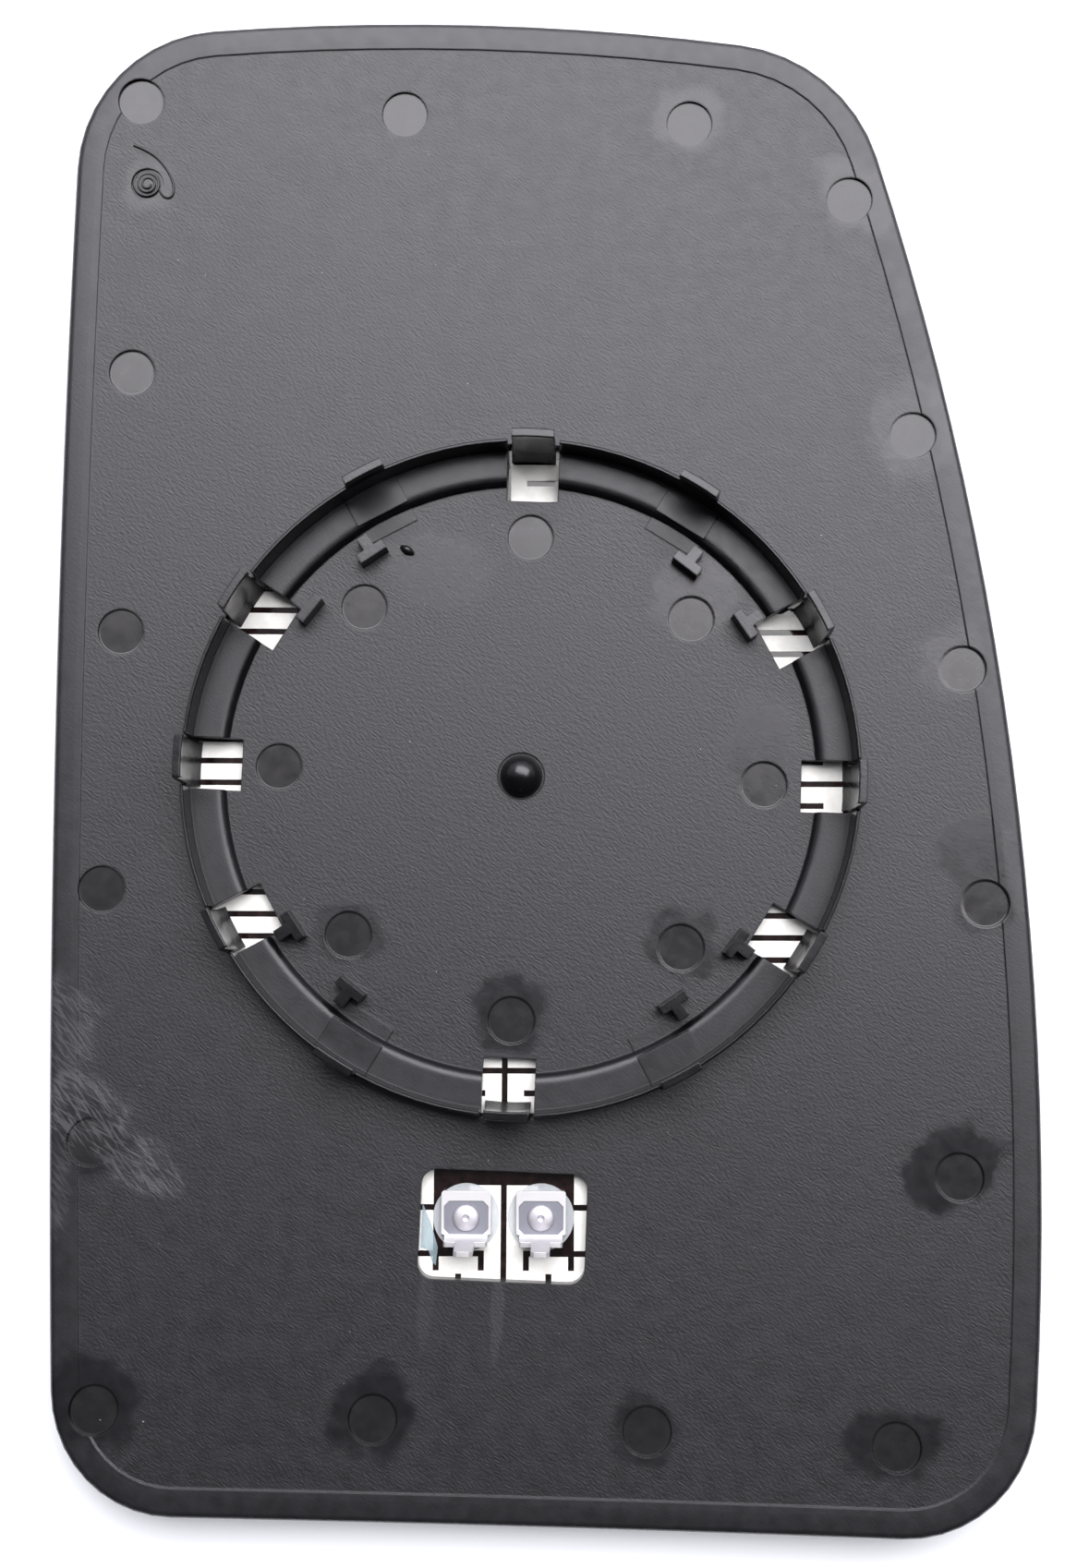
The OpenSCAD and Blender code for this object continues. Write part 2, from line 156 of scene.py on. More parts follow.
# %% Mesh helpers
def new_object(name, mesh, material):
    """Puts a mesh into the scene with its material, at the origin and unturned."""
    made = bpy.data.objects.new(name, mesh)
    bpy.context.scene.collection.objects.link(made)
    if material is not None:
        mesh.materials.clear()
        mesh.materials.append(material)
    return made


def mesh_from(name, bm, smooth_angle=35):
    """Closes a bmesh into a mesh with outward faces and smooth shading up to an angle."""
    bmesh.ops.recalc_face_normals(bm, faces=bm.faces)
    for face in bm.faces:
        face.smooth = True
    for edge in bm.edges:
        if len(edge.link_faces) == 2:
            edge.smooth = edge.calc_face_angle() < math.radians(smooth_angle)
    mesh = bpy.data.meshes.new(name)
    bm.to_mesh(mesh)
    bm.free()
    return mesh


def settle(made, slot, *nodes):
    """Rides the piece on the part's one body and hides the solids that it stands for; its slot is
    not used.
    """
    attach(made, "root")
    if nodes:
        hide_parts(*nodes)
    print(made.name, "has", len(made.data.polygons), "faces")


# %% [markdown]
# ## Light
# One wide softbox stands beyond the top of the plate. Its reflection in the grained plastic
# makes the top grey and leaves the bottom near black, as the photograph shows. Small lamps
# could do that too, but they would show as spots in the knob's smooth dome. The world is a
# pale ceiling that fades the same way, so the dome has a light top and a dark foot.

# %% Softbox and world
SOFTBOX_PLACE = Vector((0.13, 0.47, 0.84))
SOFTBOX_AIM = Vector((0, 0.04, 0))
SOFTBOX_SIZE = (1.3, 0.72)
SOFTBOX_WATTS = 18.5
CEILING_SPAN = (-0.2, 0.6)
CEILING_GLOW = (0.02, 0.9)
softbox = bpy.data.objects.new("softbox", bpy.data.lights.new("softbox", "AREA"))
bpy.context.scene.collection.objects.link(softbox)
softbox.data.shape = "RECTANGLE"
softbox.data.size, softbox.data.size_y = SOFTBOX_SIZE
softbox.data.energy = SOFTBOX_WATTS
softbox.location = SOFTBOX_PLACE
softbox.rotation_euler = (SOFTBOX_AIM - SOFTBOX_PLACE).to_track_quat("-Z", "Y").to_euler()
softbox.visible_camera = False

world = bpy.data.worlds.new("pale_studio")
bpy.context.scene.world = world
world.use_nodes = True
world.node_tree.nodes.clear()
sky = world.node_tree
direction = add(sky, "ShaderNodeTexCoord", output="Generated")
northward = add(sky, "ShaderNodeSeparateXYZ", {0: direction}, output="Y")
fade = add(sky, "ShaderNodeMapRange",
           {"Value": northward, "From Min": CEILING_SPAN[0], "From Max": CEILING_SPAN[1],
            "To Min": CEILING_GLOW[0], "To Max": CEILING_GLOW[1]})
seen = add(sky, "ShaderNodeLightPath", output="Is Camera Ray")
strength = add(sky, "ShaderNodeMix", {"Factor": seen, "A": fade, "B": 1.0})
backdrop = add(sky, "ShaderNodeBackground", {"Color": linear("#f7f8ff"), "Strength": strength})
add(sky, "ShaderNodeOutputWorld", {"Surface": backdrop})
print("softbox power:", SOFTBOX_WATTS, "W")

# %% [markdown]
# ## Floor
# The part lies on a white table top. More light on it would lift it to the white of the
# photograph, and wash out the part as well. So it has a little glow of its own instead, which
# only the camera and reflections see, and it keeps the soft shadow of the part.

# %% Floor
FLOOR_HALF = 6.0
FLOOR_GLOW = 0.2
FLOOR_GAP_MM = 0.05
floor_material, tree = new_material("white_laminate")
white = add(tree, "ShaderNodeBsdfDiffuse", {"Color": linear("#f3f3fa")})
path = tree.nodes.new("ShaderNodeLightPath")
either = add(tree, "ShaderNodeMath", {0: path.outputs["Is Camera Ray"],
                                      1: path.outputs["Is Glossy Ray"]}, operation="MAXIMUM")
glow = add(tree, "ShaderNodeMath", {0: either, 1: FLOOR_GLOW}, operation="MULTIPLY")
light = add(tree, "ShaderNodeEmission", {"Color": linear("#ffffff"), "Strength": glow})
close_material(tree, add(tree, "ShaderNodeAddShader", {0: white, 1: light}))

floor_z = cad_box[0][2] - FLOOR_GAP_MM * MM
bm = bmesh.new()
corners = [bm.verts.new((x * FLOOR_HALF, y * FLOOR_HALF, floor_z))
           for x, y in ((-1, -1), (1, -1), (1, 1), (-1, 1))]
bm.faces.new(corners)
floor = new_object("table_top", mesh_from("table_top", bm), floor_material)
print("floor at", round(floor_z / MM, 2), "mm")

# %% [markdown]
# ## Smooth skin for the carried-over solids
# The imported solids arrive as loose triangles. Merging the points that coincide, and marking
# only the edges over 30 degrees as sharp, shows the ring's walls round and the steps crisp.
# That could be done in edit mode, but the imported mesh is left as it is, so a small Geometry
# Nodes modifier does it.

# %% Smooth skin
MERGE_MM = 0.002
SHARP_DEGREES = 30.0


def skin_tree():
    tree = bpy.data.node_groups.new("smooth_skin", "GeometryNodeTree")
    face = tree.interface
    face.new_socket(name="Geometry", in_out="INPUT", socket_type="NodeSocketGeometry")
    face.new_socket(name="Merge distance", in_out="INPUT", socket_type="NodeSocketFloat")
    face.new_socket(name="Sharp angle", in_out="INPUT", socket_type="NodeSocketFloat")
    face.new_socket(name="Geometry", in_out="OUTPUT", socket_type="NodeSocketGeometry")
    entry = tree.nodes.new("NodeGroupInput")
    merged = add(tree, "GeometryNodeMergeByDistance",
                 {"Geometry": entry.outputs[0], "Distance": entry.outputs["Merge distance"]})
    bare = add(tree, "GeometryNodeRemoveAttribute", {"Geometry": merged, "Name": "custom_normal"})
    rounded = add(tree, "GeometryNodeSetShadeSmooth", {0: bare, "Shade Smooth": True},
                  domain="FACE")
    angle = add(tree, "GeometryNodeInputMeshEdgeAngle", output="Unsigned Angle")
    flat = add(tree, "FunctionNodeCompare", {0: angle, 1: entry.outputs["Sharp angle"]},
               data_type="FLOAT", operation="LESS_THAN")
    edged = add(tree, "GeometryNodeSetShadeSmooth", {0: rounded, "Shade Smooth": flat},
                domain="EDGE")
    add(tree, "NodeGroupOutput", {0: edged})
    return tree


SKIN = skin_tree()


def give_skin(node, material):
    """Gives a carried-over solid its smooth skin and its material."""
    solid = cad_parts[node]
    skin = solid.modifiers.new("smooth_skin", "NODES")
    skin.node_group = SKIN
    keys = {s.name: s.identifier for s in SKIN.interface.items_tree if s.in_out == "INPUT"}
    skin[keys["Merge distance"]] = MERGE_MM * MM
    skin[keys["Sharp angle"]] = math.radians(SHARP_DEGREES)
    solid.data.materials.clear()
    solid.data.materials.append(material)
    print(node, "has", len(solid.data.polygons), "triangles and is now", material.name)


# %% [markdown]
# ## Black moulded plastic
# The plate is injection moulded in glass-filled black nylon. Its field was spark-eroded in
# the mould, so it is a fine grain that scatters the light and looks grey. The rim and the
# ring's seat are as grey but smoother. Walls, hooks and posts are painted near black, which is
# painted shade on top of the deeper black of their smoother moulding. The ejector marks are
# round, smoother and a little warmer, and a thin dark line painted around them is painted
# shade standing in for a fine groove.
#
# The field is part of a sphere, and the solid's flat facets would show in its gloss. Where
# the surface agrees with the sphere, the sphere's own normal is used. The marks' floors are
# flat in the solid, so inside their circles the sphere's normal is used more freely. A finer
# mesh would cure the facets too, but not the flat floors.

# %% Places on the plastic, in millimetres
PLATE_EDGE_MM = 0.28
MARK_HALF = 3.55
MARK_STEP = 0.25
GROOVE_HALF = 0.14
MARKS = [(-64.0, 104.0), (-22.5, 104.0), (22.5, 104.0), (48.0, 92.5), (59.0, 55.5),
         (-63.5, 61.0), (0.0, 37.5), (25.5, 25.5), (37.5, 0.0), (25.5, -25.5), (0.0, -37.5),
         (-25.5, -25.5), (-37.5, 0.0), (-25.5, 25.5), (-63.0, 20.0), (67.5, 19.0),
         (-63.5, -20.0), (71.5, -17.0), (-62.5, -58.0), (68.0, -58.0), (-59.0, -96.5),
         (-18.0, -96.5), (22.5, -96.5), (59.0, -97.0)]
# Shiny patches rubbed or pressed smooth: centre, half length, half width, turn in degrees
# and strength
SHINY_PATCHES = [
    (26.0, 29.3, 8.0, 6.4, 35, 0.8), (37.5, 4.0, 6.2, 10.0, 0, 0.8),
    (69.5, -9.0, 6.2, 6.6, -25, 0.9), (71.5, -16.0, 6.0, 6.5, 0, 0.85),
    (59.0, 56.5, 7.5, 8.5, 0, 0.5), (66.0, 20.0, 6.5, 6.4, 30, 0.7),
    (49.0, 93.5, 5.5, 7.5, 40, 0.6), (22.0, 104.8, 5.8, 5.4, 0, 0.6),
    (67.0, -57.0, 8.8, 6.8, 35, 1.0), (58.5, -96.5, 8.5, 4.8, 5, 0.8),
    (-18.0, -95.2, 7.0, 6.2, 60, 1.0), (-59.0, -95.0, 7.8, 7.2, 120, 1.0),
    (-0.5, -36.0, 6.2, 6.7, 20, 0.85), (-62.5, -57.0, 6.7, 5.4, 120, 0.7),
    (-14.5, 32.0, 9.0, 7.0, -20, 0.6), (25.6, -24.5, 6.2, 6.6, 0, 0.75),
    (-25.6, -25.2, 5.2, 5.4, 0, 0.6), (22.3, -96.2, 5.4, 5.4, 0, 0.6),
    (-62.5, 91.0, 4.5, 4.5, 0, 0.5)]
# Where the plate has rubbed on something, and streaks that run down from the window
SCUFFS = [(-68.0, -41.0, 6.0, 8.0, 10, 0.5), (-63.5, -54.0, 8.0, 6.0, -35, 0.7),
          (-55.0, -61.0, 8.0, 4.0, -30, 0.6), (-67.5, -66.0, 3.0, 9.0, 0, 0.35)]
STREAKS = [(-11.0, -80.0, 1.3, 5.5, 0, 0.12), (-0.3, -80.5, 1.1, 6.5, 0, 0.18)]
print("ejector marks:", len(MARKS), "shiny patches:", len(SHINY_PATCHES))


# %% Masks for the plastic
def patch_mask(tree, place, wobble, patches):
    """The strongest of some soft, ragged ellipses around given places."""
    strongest = None
    for x, y, half_x, half_y, turn, strength in patches:
        local = add(tree, "ShaderNodeMapping",
                    {"Vector": place, "Location": (x * MM, y * MM, 0),
                     "Rotation": (0, 0, math.radians(turn)),
                     "Scale": (half_x * MM, half_y * MM, 1000.0)}, vector_type="TEXTURE")
        ragged = add(tree, "ShaderNodeVectorMath", {0: local, 1: wobble}, operation="ADD")
        reach = add(tree, "ShaderNodeVectorMath", {0: ragged}, output="Value",
                    operation="LENGTH")
        soft = add(tree, "ShaderNodeMapRange",
                   {"Value": reach, "From Min": 1.12, "From Max": 0.7, "To Max": strength},
                   interpolation_type="SMOOTHSTEP")
        if strongest is None:
            strongest = soft
        else:
            strongest = add(tree, "ShaderNodeMath", {0: strongest, 1: soft},
                            operation="MAXIMUM")
    return strongest


def nearest_mark(tree, place):
    """Distance in millimetres, seen from above, to the nearest ejector mark's centre."""
    flat = add(tree, "ShaderNodeVectorMath", {0: place, 1: (1 / MM, 1 / MM, 0.0)},
               operation="MULTIPLY")
    nearest = 1000.0
    for x, y in MARKS:
        away = add(tree, "ShaderNodeVectorMath", {0: flat, 1: (x, y, 0.0)}, output="Value",
                   operation="DISTANCE")
        nearest = add(tree, "ShaderNodeMath", {0: away, 1: nearest}, operation="MINIMUM")
    return flat, nearest


def scratch_mask(tree, place, turn, length_mm, width_mm, share):
    """Fine parallel scratches: a noise stretched along one direction and cut high."""
    local = add(tree, "ShaderNodeMapping",
                {"Vector": place, "Rotation": (0, 0, math.radians(turn)),
                 "Scale": (length_mm * MM, width_mm * MM, 1.0)}, vector_type="TEXTURE")
    noise = add(tree, "ShaderNodeTexNoise", {"Vector": local, "Scale": 1.0, "Detail": 2.0})
    return add(tree, "ShaderNodeMapRange",
               {"Value": noise, "From Min": share, "From Max": share + 0.1})


# %% Black nylon: directions, levels and marks
SAME_AS_SPHERE, SAME_IN_MARK = 0.9997, 0.93
RIM_LEVELS = (4.43, 4.49)
RIM_GRAIN = 0.25
POST_LEVELS = (6.2, 6.6)
plastic, tree = new_material("moulded_black_nylon")
place = add(tree, "ShaderNodeTexCoord", output="Object")
inward = add(tree, "ShaderNodeVectorMath", {0: (0.0, 0.0, CENTRE_Z * MM), 1: place},
             operation="SUBTRACT")
far = add(tree, "ShaderNodeVectorMath", {0: inward}, output="Value", operation="LENGTH")
level = add(tree, "ShaderNodeMath", {0: far, 1: -1 / MM, 2: FACE_RADIUS},
            operation="MULTIPLY_ADD")
ball = add(tree, "ShaderNodeVectorMath", {0: inward}, operation="NORMALIZE")
soft_edge = add(tree, "ShaderNodeBevel", {"Radius": PLATE_EDGE_MM * MM}, samples=4)
agree = add(tree, "ShaderNodeVectorMath", {0: soft_edge, 1: ball}, output="Value",
            operation="DOT_PRODUCT")
flat, to_mark = nearest_mark(tree, place)
in_mark = add(tree, "ShaderNodeMath", {0: to_mark, 1: MARK_HALF + MARK_STEP},
              operation="LESS_THAN")
needed = add(tree, "ShaderNodeMapRange", {"Value": in_mark, "To Min": SAME_AS_SPHERE,
                                          "To Max": SAME_IN_MARK})
on_ball = add(tree, "ShaderNodeMath", {0: agree, 1: needed}, operation="GREATER_THAN")
normal = add(tree, "ShaderNodeMix", {"Factor": on_ball, 4: soft_edge, 5: ball}, output=1,
             data_type="VECTOR")
upright = add(tree, "ShaderNodeMapRange", {"Value": agree, "From Min": 0.75, "From Max": 0.97},
              interpolation_type="SMOOTHSTEP")
above = add(tree, "ShaderNodeMapRange", {"Value": level, "From Min": RIM_LEVELS[0],
                                         "From Max": RIM_LEVELS[1]})
grained = add(tree, "ShaderNodeMapRange", {"Value": above, "To Min": 1.0,
                                           "To Max": RIM_GRAIN})
# Raised parts (walls, hooks, posts) count as sides, so they take the painted shade colour too
raised = add(tree, "ShaderNodeMapRange", {"Value": level, "From Min": POST_LEVELS[0],
                                          "From Max": POST_LEVELS[1]})
low = add(tree, "ShaderNodeMath", {0: 1.0, 1: raised}, operation="SUBTRACT")
upright = add(tree, "ShaderNodeMath", {0: upright, 1: low}, operation="MULTIPLY")
floor_of_mark = add(tree, "ShaderNodeMapRange",
                    {"Value": to_mark, "From Min": MARK_HALF, "From Max": MARK_HALF - 0.15})
# The thin ring at each mark's edge, which is painted dark below as shade standing in for a groove
groove = add(tree, "ShaderNodeMath", {0: to_mark, 1: MARK_HALF, 2: GROOVE_HALF},
             operation="COMPARE")
print("plastic: level, direction and marks are set")

# %% Black nylon: patches, scuffs and grain
PATCH_NOISE_MM, COARSE_NOISE_MM = 5, 2.2
RAGGED = 1.1
GRAIN_TURN = -35
GRAIN_SHAPE = Vector((1.7, 0.6, 0.6))
SMOOTH_GRAIN = 0.1
STEP_DEPTH_MM = 0.15
cloud = add(tree, "ShaderNodeTexNoise",
            {"Vector": place, "Scale": 1 / (PATCH_NOISE_MM * MM), "Detail": 3.0},
            output="Color")
middle = add(tree, "ShaderNodeVectorMath", {0: cloud, 1: (0.5, 0.5, 0.5)}, operation="SUBTRACT")
wobble = add(tree, "ShaderNodeVectorMath", {0: middle, "Scale": RAGGED}, operation="SCALE")
shiny = patch_mask(tree, place, wobble, SHINY_PATCHES)
streaks = patch_mask(tree, place, wobble, STREAKS)
rubbed = patch_mask(tree, place, wobble, SCUFFS)
across = scratch_mask(tree, place, -52, 5.0, 0.45, 0.5)
along = scratch_mask(tree, place, -30, 4.0, 0.4, 0.53)
lines = add(tree, "ShaderNodeMath", {0: across, 1: along}, operation="MAXIMUM")
fine = add(tree, "ShaderNodeMapRange", {"Value": lines, "To Min": 0.12, "To Max": 1.0})
scuffs = add(tree, "ShaderNodeMath", {0: rubbed, 1: fine}, operation="MULTIPLY")
scuffs = add(tree, "ShaderNodeMath", {0: scuffs, 1: streaks}, operation="MAXIMUM")

dashes = add(tree, "ShaderNodeMapping",
             {"Vector": place, "Rotation": (0, 0, math.radians(GRAIN_TURN)),
              "Scale": GRAIN_SHAPE * GRAIN_MM * MM}, vector_type="TEXTURE")
grain = add(tree, "ShaderNodeTexNoise", {"Vector": dashes, "Scale": 1.0, "Detail": 2.0,
                                         "Roughness": 0.6})
coarse = add(tree, "ShaderNodeTexNoise",
             {"Vector": place, "Scale": 1 / (COARSE_NOISE_MM * MM), "Detail": 3.0})
worn = add(tree, "ShaderNodeMath", {0: shiny, 1: floor_of_mark}, operation="MAXIMUM")
whole = add(tree, "ShaderNodeMath", {0: 1.0, 1: worn}, operation="SUBTRACT")
deep = add(tree, "ShaderNodeMath", {0: whole, 1: grained}, operation="MULTIPLY")
depth = add(tree, "ShaderNodeMapRange", {"Value": deep, "To Min": SMOOTH_GRAIN})
bumped = add(tree, "ShaderNodeBump", {"Strength": depth, "Distance": GRAIN_DEPTH_MM * MM,
                                      "Height": grain, "Normal": normal})
sunk = add(tree, "ShaderNodeMapRange", {"Value": to_mark, "From Min": MARK_HALF - MARK_STEP,
                                        "From Max": MARK_HALF + MARK_STEP})
stepped = add(tree, "ShaderNodeBump", {"Strength": 0.35, "Distance": STEP_DEPTH_MM * MM,
                                       "Height": sunk, "Normal": bumped})
print("plastic: patches, scuffs and grain are set")

# %% Black nylon: colour and gloss
SIDE_SHADE_BLACK, FIELD_GREY, MARK_GREY, SCUFF_GREY = "#0d0d10", "#1f1f22", "#232223", "#56565a"
SIDE_ROUGHNESS, FIELD_ROUGHNESS, POLISH = 0.24, 0.38, 0.17
SKY_TINT = (0.97, 0.95, 1.0, 1.0)
# Upright and raised faces get a near-black copy of the same nylon: painted shade, and in part the
# deeper black of their smoother moulding
shaded_sides = add(tree, "ShaderNodeMix", {"Factor": upright}, output=2, data_type="RGBA")
shaded_sides.node.inputs[6].default_value = linear(SIDE_SHADE_BLACK)
shaded_sides.node.inputs[7].default_value = linear(FIELD_GREY)
warm = add(tree, "ShaderNodeMix", {"Factor": floor_of_mark}, output=2, data_type="RGBA")
tree.links.new(shaded_sides, warm.node.inputs[6])
warm.node.inputs[7].default_value = linear(MARK_GREY)
mottle = add(tree, "ShaderNodeMapRange", {"Value": coarse, "From Min": 0.3, "From Max": 0.7,
                                          "To Min": 0.88, "To Max": 1.12})
# Painted shade: a thin dark line around each mark, standing in for the shade in a fine groove
groove_shade = add(tree, "ShaderNodeMapRange", {"Value": groove, "To Min": 1.0, "To Max": 0.5})
# Shiny patches are painted 15 % darker, a painted dark reflection of the room, on top of their
# real polish
shiny_painted_dark = add(tree, "ShaderNodeMapRange", {"Value": shiny, "To Min": 1.0, "To Max": 0.85})
tone = add(tree, "ShaderNodeMath", {0: mottle, 1: groove_shade}, operation="MULTIPLY")
tone = add(tree, "ShaderNodeMath", {0: tone, 1: shiny_painted_dark}, operation="MULTIPLY")
tinted = add(tree, "ShaderNodeVectorMath", {0: warm, "Scale": tone}, operation="SCALE")
scored = add(tree, "ShaderNodeMix", {"Factor": scuffs}, output=2, data_type="RGBA")
tree.links.new(tinted, scored.node.inputs[6])
scored.node.inputs[7].default_value = linear(SCUFF_GREY)
rough = add(tree, "ShaderNodeMapRange", {"Value": upright, "To Min": SIDE_ROUGHNESS,
                                         "To Max": FIELD_ROUGHNESS})
polish = add(tree, "ShaderNodeMath", {0: worn, 1: POLISH}, operation="MULTIPLY")
rougher = add(tree, "ShaderNodeMath", {0: rough, 1: polish}, operation="SUBTRACT")
stained = add(tree, "ShaderNodeMapRange", {"Value": coarse, "From Min": 0.3, "From Max": 0.7,
                                           "To Min": -0.04, "To Max": 0.04})
roughness = add(tree, "ShaderNodeMath", {0: rougher, 1: stained}, operation="ADD")
close_material(tree, add(tree, "ShaderNodeBsdfPrincipled",
                         {"Base Color": scored, "Roughness": roughness, "IOR": 1.53,
                          "Specular Tint": SKY_TINT, "Normal": stepped}))
give_skin("backing_plate", plastic)

# %% [markdown]
# ## Heater
# A dark adhesive film carries a rolled aluminium foil track. Through the windows the foil
# looks almost white and the film between two tracks nearly black, with a warm tinge. A metal
# shader would mirror the dark room, so the matt foil is a pale one that scatters the light.

# %% Film and foil
film, tree = new_material("dark_adhesive_film")
place = add(tree, "ShaderNodeTexCoord", output="Object")
streak = add(tree, "ShaderNodeTexNoise", {"Vector": place, "Scale": 1 / (1.5 * MM),
                                          "Detail": 3.0})
shade = add(tree, "ShaderNodeValToRGB", {"Fac": streak})
shade.node.color_ramp.elements[0].position = 0.35
shade.node.color_ramp.elements[0].color = linear("#120c0c")
shade.node.color_ramp.elements[1].position = 0.7
shade.node.color_ramp.elements[1].color = linear("#2a1c1c")
sheen = add(tree, "ShaderNodeMapRange", {"Value": streak, "To Min": 0.04, "To Max": 0.1})
close_material(tree, add(tree, "ShaderNodeBsdfPrincipled",
                         {"Base Color": shade, "Roughness": sheen, "IOR": 1.48}))
give_skin("heater_film", film)

foil, tree = new_material("rolled_track_foil")
place = add(tree, "ShaderNodeTexCoord", output="Object")
rolled = add(tree, "ShaderNodeMapping", {"Vector": place, "Scale": (0.25 * MM, 3 * MM, 1.0),
                                         "Rotation": (0, 0, math.radians(2))},
             vector_type="TEXTURE")
grain = add(tree, "ShaderNodeTexNoise", {"Vector": rolled, "Scale": 1.0, "Detail": 2.0})
dent = add(tree, "ShaderNodeTexNoise", {"Vector": place, "Scale": 1 / (1.8 * MM),
                                        "Detail": 2.0})
worn = add(tree, "ShaderNodeMapRange", {"Value": grain, "To Min": 0.34, "To Max": 0.5})
ridge = add(tree, "ShaderNodeBump", {"Strength": 0.15, "Distance": 0.2 * MM, "Height": dent})
tint = add(tree, "ShaderNodeValToRGB", {"Fac": dent})
tint.node.color_ramp.elements[0].position = 0.3
tint.node.color_ramp.elements[0].color = linear("#f4f0ec")
tint.node.color_ramp.elements[1].position = 0.65
tint.node.color_ramp.elements[1].color = linear("#fefdfb")
close_material(tree, add(tree, "ShaderNodeBsdfPrincipled",
                         {"Base Color": tint, "Metallic": 0.0, "Roughness": worn,
                          "Normal": ridge}))
give_skin("heater_track", foil)

# %% [markdown]
# ## Outline
# The four sides are flat arcs and the corners are arcs that touch them. The glass needs the
# plate's outline, a little smaller and with many more points than the solid has. A drawn curve
# could be traced, but arcs keep their true radii and need only a few numbers.


# %% Outline
def side_circle(a, b, bulge):
    """Centre and radius of the arc that bows out between two points."""
    a, b = Vector(a), Vector(b)
    chord = (b - a).length
    radius = (chord * chord / 4 + bulge * bulge) / (2 * bulge)
    along = (b - a) / chord
    return (a + b) / 2 - Vector((along.y, -along.x)) * (radius - bulge), radius


def touching_centre(corner, first, second, radius):
    """Centre of the corner arc that touches two side arcs from inside."""
    ra, rb = first[1] - radius, second[1] - radius
    apart = (second[0] - first[0]).length
    along = (second[0] - first[0]) / apart
    x = (ra * ra - rb * rb + apart * apart) / (2 * apart)
    y = math.sqrt(ra * ra - x * x)
    both = [first[0] + along * x + Vector((-along.y, along.x)) * y * s for s in (1, -1)]
    return min(both, key=lambda p: (p - Vector(corner)).length)


SIDES = [side_circle(CORNERS[i], CORNERS[(i + 1) % 4], BULGES[i]) for i in range(4)]
CENTRES = [touching_centre(CORNERS[i], SIDES[i - 1], SIDES[i], CORNER_RADII[i])
           for i in range(4)]


def heading(v):
    return math.atan2(v.y, v.x)


def stations(step_mm):
    """Circle centre, angle and radius at even steps around the outline."""
    found = []
    for i in range(4):
        spans = [(CENTRES[i], CORNER_RADII[i], CENTRES[i] - SIDES[i - 1][0],
                  CENTRES[i] - SIDES[i][0]),
                 (SIDES[i][0], SIDES[i][1], CENTRES[i] - SIDES[i][0],
                  CENTRES[(i + 1) % 4] - SIDES[i][0])]
        for centre, radius, start, end in spans:
            first = heading(start)
            turn = (heading(end) - first) % (2 * math.pi)
            count = max(2, math.ceil(turn * radius / step_mm))
            found += [(centre, first + turn * k / count, radius) for k in range(count)]
    return found


STATION_STEP_MM = 1.6
STATIONS = stations(STATION_STEP_MM)


def inside(station, inset):
    centre, angle, radius = station
    return centre + (radius - inset) * Vector((math.cos(angle), math.sin(angle)))


print("outline stations:", len(STATIONS))

# %% [markdown]
# ## Mirror glass
# A 2 mm convex glass with a mirror coat on its face and a ground edge. It is lofted: rings of
# the outline shrink towards the middle, each point set on its sphere, so the reflection in
# the coat has no facets. The edge gets the two small chamfers that a grinding belt leaves.

# %% Mirror glass
CHAMFER_MM = 0.35
MIDDLE = Vector((-2.0, 0.0))
EDGE_SLOPE = 0.9
SHRINK = [1.0, 0.985, 0.95, 0.88, 0.78, 0.66, 0.53, 0.4, 0.27, 0.14, 0.05]


def glass_mesh():
    bm = bmesh.new()
    edge = GLASS_INSET
    rings = []
    for share in reversed(SHRINK):
        rings.append((edge + CHAMFER_MM, 0.0, share))
    rings.append((edge, CHAMFER_MM, 1.0))
    rings.append((edge, GLASS - CHAMFER_MM, 1.0))
    for share in SHRINK:
        rings.append((edge + CHAMFER_MM, GLASS, share))
    loops = []
    for inset, level, share in rings:
        loop = []
        for station in STATIONS:
            p = MIDDLE + (inside(station, inset) - MIDDLE) * share
            loop.append(bm.verts.new(Vector((p.x, p.y, height_at(p.x, p.y, level))) * MM))
        loops.append(loop)
    count = len(STATIONS)
    for a, b in zip(loops, loops[1:]):
        for i in range(count):
            bm.faces.new((a[i], a[(i + 1) % count], b[(i + 1) % count], b[i]))
    for loop, level in ((loops[0], 0.0), (loops[-1], GLASS)):
        pole = bm.verts.new(Vector((*MIDDLE, height_at(*MIDDLE, level))) * MM)
        for i in range(count):
            bm.faces.new((loop[i], loop[(i + 1) % count], pole))
    return mesh_from("mirror_glass_lens", bm, 30)


def mirror_materials():
    coat, tree = new_material("first_surface_mirror_coat")
    place = add(tree, "ShaderNodeTexCoord", output="Object")
    smear = add(tree, "ShaderNodeTexNoise", {"Vector": place, "Scale": 1 / (18 * MM),
                                             "Detail": 4.0})
    haze = add(tree, "ShaderNodeMapRange", {"Value": smear, "From Min": 0.45,
                                            "To Min": 0.015, "To Max": 0.06})
    close_material(tree, add(tree, "ShaderNodeBsdfPrincipled",
                             {"Base Color": linear("#cfd6da"), "Metallic": 1.0,
                              "Roughness": haze}))
    ground, tree = new_material("ground_glass_edge")
    place = add(tree, "ShaderNodeTexCoord", output="Object")
    grit = add(tree, "ShaderNodeTexNoise", {"Vector": place, "Scale": 1 / (0.15 * MM)})
    cut = add(tree, "ShaderNodeBump", {"Strength": 0.4, "Distance": 0.03 * MM,
                                       "Height": grit})
    close_material(tree, add(tree, "ShaderNodeBsdfPrincipled",
                             {"Base Color": linear("#8fa39b"), "Roughness": 0.55,
                              "IOR": 1.52, "Normal": cut}))
    return coat, ground


